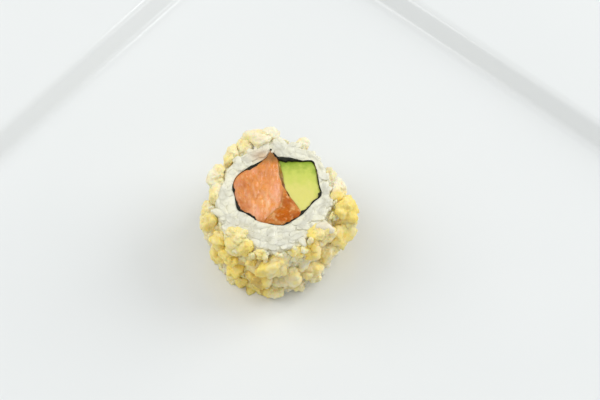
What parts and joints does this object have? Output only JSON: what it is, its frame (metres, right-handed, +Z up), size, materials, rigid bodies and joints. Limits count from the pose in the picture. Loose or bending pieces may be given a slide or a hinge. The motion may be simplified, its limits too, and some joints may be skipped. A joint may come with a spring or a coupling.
{
  "type": "sushi roll piece on a square plate",
  "caption": "Piece of inside-out sushi roll with salmon and avocado in nori and rice, coated in tempura crumbs, on a square rimmed porcelain plate.",
  "frame": {"origin": "middle of the plate, on the surface that its foot stands on", "axes": "+Z up; X and Y run along the sides of the square plate; the picture is taken from an azimuth of about 40 degrees"},
  "size_m": [0.3232, 0.3232, 0.0366],
  "materials": {
    "porcelain_glaze": "white glazed porcelain, glossy",
    "tempura_crumb": "pale golden fried batter crumbs, dry with a slight oil gloss",
    "sushi_rice": "cooked short-grain rice, white, translucent, moist",
    "nori": "moist roasted seaweed, green-black, satin",
    "salmon": "raw salmon with pale fat lines, wet",
    "spicy_salmon": "salmon in chilli sauce, orange-red, wet",
    "avocado": "ripe avocado flesh, green towards the skin and yellow towards the stone, buttery"
  },
  "bodies": {
    "root": {"plate": "porcelain_glaze", "crumbed_rice": "tempura_crumb", "nori": "nori", "salmon_thick": "salmon", "salmon_thin": "spicy_salmon", "avocado": "avocado"}
  },
  "joints": []
}
